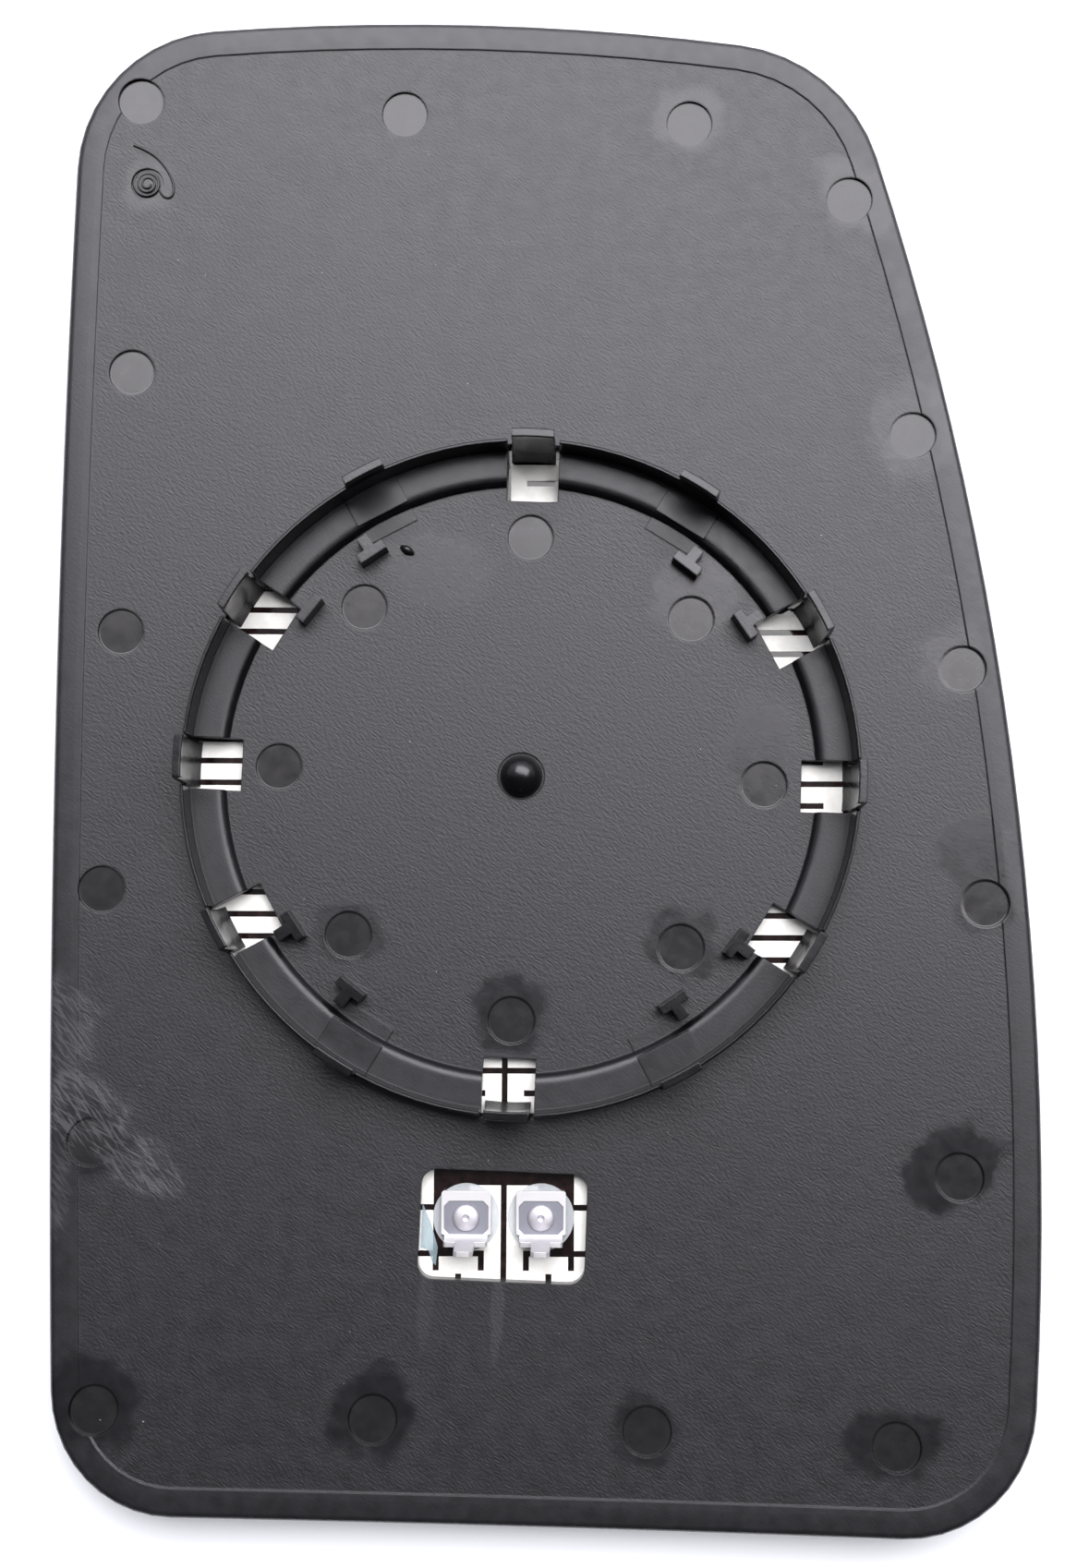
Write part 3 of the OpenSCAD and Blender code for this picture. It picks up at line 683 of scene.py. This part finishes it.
coat, ground = mirror_materials()
lens = new_object("mirror_glass_lens", glass_mesh(), coat)
lens.data.materials.append(ground)
for face in lens.data.polygons:
    if abs(face.normal.z) < EDGE_SLOPE:
        face.material_index = 1
settle(lens, "mirror_coat", "mirror_glass")

# %% [markdown]
# ## Terminals
# Each terminal is stamped from tinned brass sheet: a foot with a shallow eight-sided panel,
# a bend, a shoulder and a 2.8 mm blade. It is made here as it is made in the press: a flat
# blank, bevelled, cut across where it will bend, and then bent around a radius.

# %% Terminal measures and place
SKEW = math.radians(2)
HEATER_CENTRE = -2.3
SPACING = 11.3
TERMINAL_V = -67.0
SEAT_GAP = 0.02
DISC = 0.4
SHEET = 0.8
FOOT_HALF, FOOT_REACH, BEND_REACH = 3.75, 3.95, 3.05
SHOULDER_HALF, SHOULDER_TOP = 3.25, 2.6
BLADE_HALF, BLADE_TOP, TIP = 1.4, 9.4, 0.5
INNER_BEND = 0.3
LEAN = math.radians(4)
FOOT_CUT, SHOULDER_CUT = 0.3, 0.25
NECK_START, NECK_END = 0.35, 0.15
BROKEN_EDGE = 0.13
BEND_STEPS = 10
# The pressed panel: half width, half length, corner cut and depth
PANEL = (3.4, 2.5, 0.8, 0.15)
PUNCH_FLOOR, PUNCH_MOUTH = 0.975, 1.02


def rivet_place(side):
    x, y = HEATER_CENTRE + side * SPACING / 2, TERMINAL_V
    return (x * math.cos(SKEW) - y * math.sin(SKEW), x * math.sin(SKEW) + y * math.cos(SKEW))


def terminal_frame(side):
    """The matrix that stands a millimetre drawing on the foil at a terminal."""
    x, y = rivet_place(side)
    z = height_at(x, y, FOIL + SEAT_GAP)
    tilt = math.asin(math.hypot(x, y) / (FACE_RADIUS - FOIL))
    place = Matrix.Translation(Vector((x, y, z)) * MM)
    turn = Matrix.Rotation(tilt, 4, Vector((y, -x, 0)).normalized())
    return place @ turn @ Matrix.Rotation(SKEW, 4, "Z") @ Matrix.Scale(MM, 4)


print("rivets at", rivet_place(-1), rivet_place(1))


# %% Terminal blank and bend
def bend(point):
    """Turns a point of the flat blank (across, along, up) into the bent terminal."""
    start = -BEND_REACH + INNER_BEND
    mid = INNER_BEND + SHEET / 2
    arc = mid * (math.pi / 2 - LEAN)
    low = DISC + SEAT_GAP
    centre = Vector((start, low + SHEET + INNER_BEND))
    ahead = start - point.y
    off = point.z
    if ahead <= 0:
        return Vector((point.x, point.y, low + off))
    angle = min(ahead, arc) / mid
    radial = INNER_BEND + SHEET - off
    v = centre.x - math.sin(angle) * radial
    w = centre.y - math.cos(angle) * radial
    beyond = max(0.0, ahead - arc)
    return Vector((point.x, v - math.cos(angle) * beyond, w + math.sin(angle) * beyond))


def terminal_blank():
    """The flat blank as a bmesh, raised to the sheet's thickness, with where its bend starts and
    ends.
    """
    mid = INNER_BEND + SHEET / 2
    start = -BEND_REACH + INNER_BEND
    arc_end = start - mid * (math.pi / 2 - LEAN)
    shoulder = arc_end - (SHOULDER_TOP - INNER_BEND)
    tip = arc_end - (BLADE_TOP - INNER_BEND)
    half = [(FOOT_HALF - FOOT_CUT, FOOT_REACH), (FOOT_HALF, FOOT_REACH - FOOT_CUT),
            (FOOT_HALF, start + NECK_START), (SHOULDER_HALF, start + NECK_END),
            (SHOULDER_HALF, shoulder + SHOULDER_CUT), (SHOULDER_HALF - SHOULDER_CUT, shoulder),
            (BLADE_HALF, shoulder), (BLADE_HALF, tip + TIP), (BLADE_HALF - TIP, tip)]
    outline = half + [(-x, y) for x, y in reversed(half)]
    bm = bmesh.new()
    face = bm.faces.new([bm.verts.new((x, y, 0)) for x, y in outline])
    raised = bmesh.ops.extrude_face_region(bm, geom=[face])["geom"]
    bmesh.ops.translate(bm, verts=[v for v in raised if isinstance(v, bmesh.types.BMVert)],
                        vec=(0, 0, SHEET))
    bmesh.ops.recalc_face_normals(bm, faces=bm.faces)
    return bm, start, arc_end


def cut_across(bm, places):
    """Cuts the blank across its length, so that it can bend there."""
    for y in places:
        bmesh.ops.bisect_plane(bm, geom=bm.verts[:] + bm.edges[:] + bm.faces[:],
                               plane_co=(0, y, 0), plane_no=(0, 1, 0))


def press_tool():
    """The eight-sided punch that presses the panel."""
    w, h, c, depth = PANEL
    ring = [(w, h - c), (w - c, h), (c - w, h), (-w, h - c),
            (-w, c - h), (c - w, -h), (w - c, -h), (w, c - h)]
    bm = bmesh.new()
    low = [bm.verts.new((x * PUNCH_FLOOR, y * PUNCH_FLOOR, SHEET - depth)) for x, y in ring]
    high = [bm.verts.new((x * PUNCH_MOUTH, y * PUNCH_MOUTH, SHEET + 1)) for x, y in ring]
    bm.faces.new(low)
    bm.faces.new(high)
    for i in range(8):
        bm.faces.new((low[i], low[(i + 1) % 8], high[(i + 1) % 8], high[i]))
    return mesh_from("punch", bm)


def make_terminal(name, side, material, panel_material):
    bm, start, arc_end = terminal_blank()
    blank = new_object(name, mesh_from(name, bm), material)
    punch = new_object(name + "_punch", press_tool(), panel_material)
    press = blank.modifiers.new("press", "BOOLEAN")
    press.object = punch
    press.operation = "DIFFERENCE"
    press.solver = "EXACT"
    broken = blank.modifiers.new("broken_edges", "BEVEL")
    broken.width = BROKEN_EDGE
    broken.segments = 2
    broken.limit_method = "ANGLE"
    broken.angle_limit = math.radians(40)
    graph = bpy.context.evaluated_depsgraph_get()
    done = bpy.data.meshes.new_from_object(blank.evaluated_get(graph))
    blank.modifiers.clear()
    bpy.data.objects.remove(punch)
    bm = bmesh.new()
    bm.from_mesh(done)
    cut_across(bm, [start + (arc_end - start) * k / BEND_STEPS for k in range(BEND_STEPS + 1)])
    for vertex in bm.verts:
        vertex.co = bend(vertex.co)
    bm.transform(terminal_frame(side))
    floor_level = DISC + SEAT_GAP + SHEET
    for face in bm.faces:
        local = terminal_frame(side).inverted() @ face.calc_center_median()
        pressed = abs(local.z - (floor_level - PANEL[3])) < PANEL[3] / 3
        face.material_index = 1 if pressed and abs(local.y) < PANEL[1] else 0
    blank.data = mesh_from(name, bm, 14)
    blank.data.materials.append(material)
    blank.data.materials.append(panel_material)
    return blank


# %% [markdown]
# ### Tin plate
# Bright tin over brass: white, a little soft in its gloss, with fine lines from rolling. The
# pressed panel is coloured a darker grey.

# %% Tin and terminals
def plated(name, code, rough_low, rough_high, line_mm):
    material, tree = new_material(name)
    place = add(tree, "ShaderNodeTexCoord", output="Object")
    rolled = add(tree, "ShaderNodeMapping", {"Vector": place,
                                             "Scale": (line_mm * MM, 12 * line_mm * MM, 1.0)},
                 vector_type="TEXTURE")
    lines = add(tree, "ShaderNodeTexNoise", {"Vector": rolled, "Scale": 1.0, "Detail": 3.0})
    gloss = add(tree, "ShaderNodeMapRange", {"Value": lines, "From Min": 0.3, "From Max": 0.7,
                                             "To Min": rough_low, "To Max": rough_high})
    fine = add(tree, "ShaderNodeBump", {"Strength": 0.25, "Distance": 0.02 * MM,
                                        "Height": lines})
    close_material(tree, add(tree, "ShaderNodeBsdfPrincipled",
                             {"Base Color": linear(code), "Metallic": 0.75,
                              "Roughness": gloss, "Normal": fine}))
    return material


tin = plated("tin_plated_brass", "#d9d7da", 0.45, 0.6, 0.12)
darker_panel_tin = plated("darker_tin_panel", "#8b8b96", 0.45, 0.6, 0.2)
rivet_tin = plated("headed_rivet", "#c9c5cd", 0.45, 0.6, 0.1)
for side, name in ((-1, "left"), (1, "right")):
    blade = make_terminal("terminal_" + name + "_stamping", side, tin, darker_panel_tin)
    settle(blade, "tinned_brass", "terminal_" + name)

# %% [markdown]
# ## Rivets
# A rivet's head is turned over by a spinning tool, which leaves a low dome with a small flat
# dimple. It is a lathed shape, so it is made by turning a profile.


# %% Rivets
def lathe(profile, steps, matrix):
    """Turns a profile of radius and height around the vertical axis."""
    bm = bmesh.new()
    rings = []
    for radius, height in profile:
        if radius == 0:
            rings.append([bm.verts.new((0, 0, height))])
            continue
        turns = [2 * math.pi * k / steps for k in range(steps)]
        rings.append([bm.verts.new((radius * math.cos(a), radius * math.sin(a), height))
                      for a in turns])
    for a, b in zip(rings, rings[1:]):
        for k in range(steps):
            corner = [a[k % len(a)], a[(k + 1) % len(a)], b[(k + 1) % len(b)], b[k % len(b)]]
            bm.faces.new(list(dict.fromkeys(corner)))
    bm.transform(matrix)
    return bm


RIVET_HALF, RIVET_RISE, HOLE_HALF = 1.95, 0.8, 1.08
HEAD_EDGE, HEAD_CUT = 0.28, 0.08
# The dimple in the dome: radius, and depth under the dome's top
DIMPLE = [(0.55, 0.02), (0.42, 0.14), (0, 0.18)]


def rivet_profile():
    low = DISC + SEAT_GAP + SHEET - PANEL[3] + SEAT_GAP
    dome = [(RIVET_HALF * math.sin(math.radians(a)),
             low + HEAD_EDGE + (RIVET_RISE - HEAD_EDGE) * math.cos(math.radians(a)))
            for a in range(90, 20, -8)]
    return ([(0, SEAT_GAP), (HOLE_HALF, SEAT_GAP), (HOLE_HALF, low),
             (RIVET_HALF - HEAD_CUT, low), (RIVET_HALF, low + HEAD_CUT)] + dome
            + [(radius, low + RIVET_RISE - depth) for radius, depth in DIMPLE])


for side, name in ((-1, "left"), (1, "right")):
    bm = lathe(rivet_profile(), 56, terminal_frame(side))
    rivet = new_object("rivet_" + name + "_head", mesh_from("rivet_" + name, bm, 40),
                       rivet_tin)
    settle(rivet, "rivet_metal", "rivet_" + name)

# %% [markdown]
# ## Seal discs and liner
# A clear soft disc seals each rivet to the foil. Its edge shows as a pale grey crescent
# beside the foot, so it scatters a little light. A scrap of pale blue liner film is left in
# the window. True refraction is slow and noisy in pieces this thin, so both are see-through
# by their alpha instead.

# %% Seal discs and liner
clear, tree = new_material("clear_silicone")
place = add(tree, "ShaderNodeTexCoord", output="Object")
blur = add(tree, "ShaderNodeTexNoise", {"Vector": place, "Scale": 1 / (1.2 * MM),
                                        "Detail": 2.0})
frost = add(tree, "ShaderNodeMapRange", {"Value": blur, "To Min": 0.15, "To Max": 0.35})
close_material(tree, add(tree, "ShaderNodeBsdfPrincipled",
                         {"Base Color": linear("#d9dde2"), "Roughness": frost, "IOR": 1.42,
                          "Alpha": 0.42}))
give_skin("seal_disc_left", clear)
give_skin("seal_disc_right", clear)

liner, tree = new_material("pale_blue_liner_film")
place = add(tree, "ShaderNodeTexCoord", output="Object")
crease = add(tree, "ShaderNodeTexNoise", {"Vector": place, "Scale": 1 / (1.6 * MM),
                                          "Detail": 2.0})
fold = add(tree, "ShaderNodeBump", {"Strength": 0.5, "Distance": 0.2 * MM, "Height": crease})
gloss = add(tree, "ShaderNodeMapRange", {"Value": crease, "To Min": 0.1, "To Max": 0.25})
close_material(tree, add(tree, "ShaderNodeBsdfPrincipled",
                         {"Base Color": linear("#b4c8d2"), "Roughness": gloss, "IOR": 1.5,
                          "Alpha": 0.38, "Normal": fold}))
give_skin("film_scrap", liner)

# %% [markdown]
# ## Gate scar
# The plastic came in through a pin gate at the upper left. Where it was torn off it left a
# small coiled scar, and a thin curl of plastic beside it. A coil follows a rule, so Geometry
# Nodes make it: a spiral becomes a round wire, and named inputs hold its sizes.

# %% Gate scar
SCAR_PLACE = (-62.5, 91.0)
SCAR_SIZES = {"Inner radius": 0.5, "Outer radius": 2.2, "Wire radius": 0.22}
SCAR_TURNS = 2.6
SCAR_LIFT_MM = 0.02


def coil_tree(material):
    tree = bpy.data.node_groups.new("torn_gate_coil", "GeometryNodeTree")
    face = tree.interface
    for name in SCAR_SIZES:
        face.new_socket(name=name, in_out="INPUT", socket_type="NodeSocketFloat")
    face.new_socket(name="Turns", in_out="INPUT", socket_type="NodeSocketFloat")
    face.new_socket(name="Place", in_out="INPUT", socket_type="NodeSocketVector")
    face.new_socket(name="Geometry", in_out="OUTPUT", socket_type="NodeSocketGeometry")
    entry = tree.nodes.new("NodeGroupInput")
    spiral = add(tree, "GeometryNodeCurveSpiral",
                 {"Resolution": 26, "Rotations": entry.outputs["Turns"],
                  "Start Radius": entry.outputs["Inner radius"],
                  "End Radius": entry.outputs["Outer radius"], "Height": 0.0})
    wire = add(tree, "GeometryNodeCurvePrimitiveCircle",
               {"Resolution": 8, "Radius": entry.outputs["Wire radius"]})
    swept = add(tree, "GeometryNodeCurveToMesh",
                {"Curve": spiral, "Profile Curve": wire, "Fill Caps": True})
    placed = add(tree, "GeometryNodeTransform",
                 {"Geometry": swept, "Translation": entry.outputs["Place"]})
    real = add(tree, "GeometryNodeRealizeInstances", {"Geometry": placed})
    done = add(tree, "GeometryNodeSetMaterial", {"Geometry": real, "Material": material})
    add(tree, "NodeGroupOutput", {0: done})
    return tree


def grown(name, group, values):
    """Runs a Geometry Nodes tree once and keeps its result as a plain mesh."""
    made = new_object(name, bpy.data.meshes.new(name), None)
    grower = made.modifiers.new(name, "NODES")
    grower.node_group = group
    keys = {s.name: s.identifier for s in group.interface.items_tree if s.in_out == "INPUT"}
    for key, value in values.items():
        grower[keys[key]] = value
    graph = bpy.context.evaluated_depsgraph_get()
    plain = bpy.data.meshes.new_from_object(made.evaluated_get(graph))
    made.modifiers.clear()
    made.data = plain
    return made


torn, tree = new_material("torn_black_nylon")
place = add(tree, "ShaderNodeTexCoord", output="Object")
torn_noise = add(tree, "ShaderNodeTexNoise", {"Vector": place, "Scale": 1 / (0.5 * MM)})
torn_gloss = add(tree, "ShaderNodeMapRange", {"Value": torn_noise, "To Min": 0.2, "To Max": 0.5})
close_material(tree, add(tree, "ShaderNodeBsdfPrincipled",
                         {"Base Color": linear("#0c0c0e"), "Roughness": torn_gloss,
                          "IOR": 1.53}))
scar_z = height_at(*SCAR_PLACE, FIELD) + SCAR_LIFT_MM
values = {name: size * MM for name, size in SCAR_SIZES.items()}
values["Turns"] = SCAR_TURNS
values["Place"] = Vector((*SCAR_PLACE, scar_z)) * MM
scar = grown("gate_scar", coil_tree(torn), values)
settle(scar, "grained_plastic")

# %% [markdown]
# ### The curl and the fleck
# A hair of plastic curls beside the scar, and one black fleck lies in the ring near a post.
# Both are free shapes, so their few points are listed and rounded off.

# %% Curl and fleck
CURL = [(-64.9, 97.0), (-62.4, 96.2), (-60.2, 94.4), (-58.6, 92.0), (-58.2, 89.8),
        (-59.0, 88.8), (-60.2, 89.3), (-60.6, 90.2)]
CURL_WIRE_MM = 0.19
FLECK_WIRE_MM = 0.9
FLECK = [(-20.2, 35.2, 0.35), (-19.5, 34.9, 0.8), (-18.8, 34.5, 0.7), (-18.2, 34.2, 0.3)]


def bent_wire(name, points, wire_mm, material):
    """A smooth wire that lies on the field, through points with their own thickness."""
    drawn = bpy.data.curves.new(name, "CURVE")
    drawn.dimensions = "3D"
    drawn.bevel_depth = wire_mm * MM
    drawn.bevel_resolution = 2
    drawn.use_fill_caps = True
    spline = drawn.splines.new("NURBS")
    spline.points.add(len(points) - 1)
    for slot, (x, y, thick) in zip(spline.points, points):
        z = height_at(x, y, FIELD) + wire_mm * thick * 0.6
        slot.co = (x * MM, y * MM, z * MM, 1.0)
        slot.radius = thick
    spline.order_u = 3
    spline.use_endpoint_u = True
    source = bpy.data.objects.new(name + "_curve", drawn)
    mesh = bpy.data.meshes.new_from_object(source)
    bpy.data.objects.remove(source)
    return new_object(name, mesh, material)


curl = bent_wire("gate_curl", [(x, y, 1.0) for x, y in CURL], CURL_WIRE_MM, torn)
settle(curl, "grained_plastic")
fleck = bent_wire("black_fleck", FLECK, FLECK_WIRE_MM, torn)
settle(fleck, "grained_plastic")

# %% [markdown]
# ## Dust
# A few specks of white dust lie on the plate. Specks repeat, so Geometry Nodes scatter them:
# points at random places with a small stone on each, and none on the ring's wall and seat.

# %% Dust specks
DUST_COUNT = 90
DUST_SEED = 7
DUST_CORNERS = (-0.058, -0.100, 0.0), (0.050, 0.100, 0.0)
RING_MIDDLE, RING_BAND = 0.048, 0.008
STONE_RADIUS = 0.00008
STONE_STRETCH = (0.4, 0.4, 0.3), (2.2, 1.1, 0.8)
FULL_TURN = (6.28, 6.28, 6.28)


def dust_tree(material):
    tree = bpy.data.node_groups.new("scattered_dust", "GeometryNodeTree")
    face = tree.interface
    face.new_socket(name="Count", in_out="INPUT", socket_type="NodeSocketInt")
    face.new_socket(name="Seed", in_out="INPUT", socket_type="NodeSocketInt")
    face.new_socket(name="Sphere radius", in_out="INPUT", socket_type="NodeSocketFloat")
    face.new_socket(name="Sphere centre", in_out="INPUT", socket_type="NodeSocketFloat")
    face.new_socket(name="Bare radius", in_out="INPUT", socket_type="NodeSocketFloat")
    face.new_socket(name="Geometry", in_out="OUTPUT", socket_type="NodeSocketGeometry")
    entry = tree.nodes.new("NodeGroupInput")
    seed = entry.outputs["Seed"]
    spot = add(tree, "FunctionNodeRandomValue",
               {0: DUST_CORNERS[0], 1: DUST_CORNERS[1], "Seed": seed},
               data_type="FLOAT_VECTOR")
    from_axis = add(tree, "ShaderNodeVectorMath", {0: spot}, output="Value", operation="LENGTH")
    squared = add(tree, "ShaderNodeMath", {0: from_axis, 1: 2.0}, operation="POWER")
    radius2 = add(tree, "ShaderNodeMath", {0: entry.outputs["Sphere radius"], 1: 2.0},
                  operation="POWER")
    left = add(tree, "ShaderNodeMath", {0: radius2, 1: squared}, operation="SUBTRACT")
    drop = add(tree, "ShaderNodeMath", {0: left}, operation="SQRT")
    height = add(tree, "ShaderNodeMath", {0: entry.outputs["Sphere centre"], 1: drop},
                 operation="SUBTRACT")
    up = add(tree, "ShaderNodeCombineXYZ", {"Z": height})
    seat = add(tree, "ShaderNodeVectorMath", {0: spot, 1: up}, operation="ADD")
    points = add(tree, "GeometryNodePoints", {"Count": entry.outputs["Count"],
                                              "Position": seat})
    place = add(tree, "GeometryNodeInputPosition")
    flat = add(tree, "ShaderNodeVectorMath", {0: place, 1: (1.0, 1.0, 0.0)},
               operation="MULTIPLY")
    away = add(tree, "ShaderNodeVectorMath", {0: flat}, output="Value", operation="LENGTH")
    apart = add(tree, "ShaderNodeMath", {0: away, 1: entry.outputs["Bare radius"]},
                operation="SUBTRACT")
    near_ring = add(tree, "FunctionNodeCompare", {0: apart, 1: 0.0, 12: RING_BAND},
                    data_type="FLOAT", operation="EQUAL")
    kept = add(tree, "GeometryNodeDeleteGeometry", {"Geometry": points, "Selection": near_ring},
               domain="POINT")
    stone = add(tree, "GeometryNodeMeshIcoSphere", {"Radius": STONE_RADIUS, "Subdivisions": 1})
    turned = add(tree, "FunctionNodeRandomValue",
                 {0: (0, 0, 0), 1: FULL_TURN, "Seed": seed}, data_type="FLOAT_VECTOR")
    scaled = add(tree, "FunctionNodeRandomValue",
                 {0: STONE_STRETCH[0], 1: STONE_STRETCH[1], "Seed": seed},
                 data_type="FLOAT_VECTOR")
    strewn = add(tree, "GeometryNodeInstanceOnPoints", {"Points": kept, "Instance": stone,
                                                        "Rotation": turned, "Scale": scaled})
    real = add(tree, "GeometryNodeRealizeInstances", {"Geometry": strewn})
    done = add(tree, "GeometryNodeSetMaterial", {"Geometry": real, "Material": material})
    add(tree, "NodeGroupOutput", {0: done})
    return tree


dusty, tree = new_material("white_dust")
place = add(tree, "ShaderNodeTexCoord", output="Object")
patchy = add(tree, "ShaderNodeTexNoise", {"Vector": place, "Scale": 1 / (0.2 * MM)})
chalk = add(tree, "ShaderNodeMapRange", {"Value": patchy, "To Min": 0.7, "To Max": 1.0})
close_material(tree, add(tree, "ShaderNodeBsdfPrincipled",
                         {"Base Color": linear("#b9b9bb"), "Roughness": chalk}))
dust = grown("dust_specks", dust_tree(dusty),
             {"Count": DUST_COUNT, "Seed": DUST_SEED, "Sphere radius": (FACE_RADIUS - FIELD) * MM,
              "Sphere centre": CENTRE_Z * MM, "Bare radius": RING_MIDDLE})
settle(dust, "grained_plastic")
